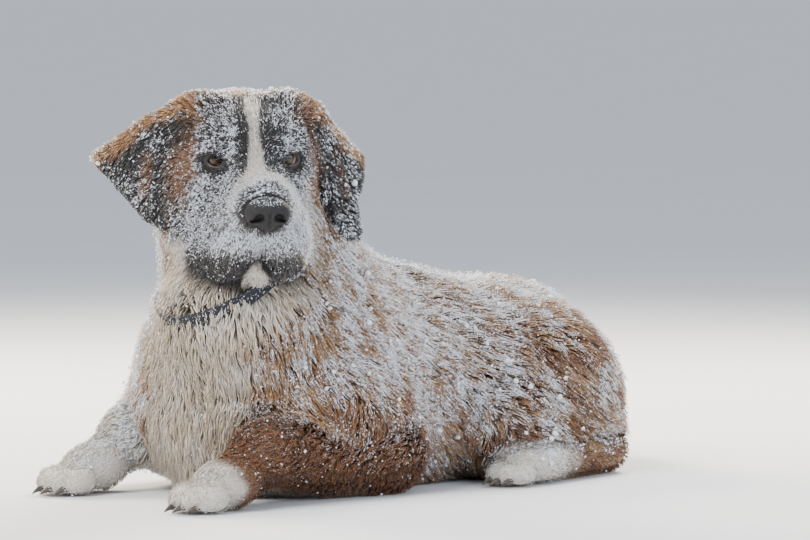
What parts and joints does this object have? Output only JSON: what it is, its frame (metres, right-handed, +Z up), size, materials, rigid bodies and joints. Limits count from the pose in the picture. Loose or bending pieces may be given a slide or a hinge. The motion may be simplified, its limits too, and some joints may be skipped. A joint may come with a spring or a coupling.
{
  "type": "saint bernard dog, lying down",
  "caption": "Life-size still model of a young long-haired Saint Bernard lying with its head raised and turned, forelegs forward, wearing a plain dark collar",
  "frame": {"origin": "on the floor, at the centre of the outline's box seen from above", "axes": "+Z up, the dog's body lies along Y and faces -Y, its left side is +X"},
  "size_m": [0.4718, 0.8563, 0.4635],
  "materials": {
    "coat": "long soft fur, rust and black over cream, dusted with snow",
    "nose": "moist, fine-grained",
    "eye": "clear wet dome over a brown iris",
    "collar": "woven webbing",
    "claw": "dull horn"
  },
  "bodies": {
    "root": {"head": "coat", "ear_l": "coat", "ear_r": "coat", "neck": "coat", "trunk": "coat", "foreleg_l": "coat", "foreleg_r": "coat", "forepaw_l": "coat", "forepaw_r": "coat", "hindleg_l": "coat", "hindleg_r": "coat", "hindpaw_l": "coat", "hindpaw_r": "coat", "tail": "coat", "nose": "nose", "eye_l": "eye", "eye_r": "eye", "collar": "collar", "claw_fore_l_1": "claw", "claw_fore_l_2": "claw", "claw_fore_l_3": "claw", "claw_fore_l_4": "claw", "claw_fore_r_1": "claw", "claw_fore_r_2": "claw", "claw_fore_r_3": "claw", "claw_fore_r_4": "claw", "claw_hind_l_1": "claw", "claw_hind_l_2": "claw", "claw_hind_l_3": "claw", "claw_hind_l_4": "claw", "claw_hind_r_1": "claw", "claw_hind_r_2": "claw", "claw_hind_r_3": "claw", "claw_hind_r_4": "claw"}
  },
  "joints": []
}
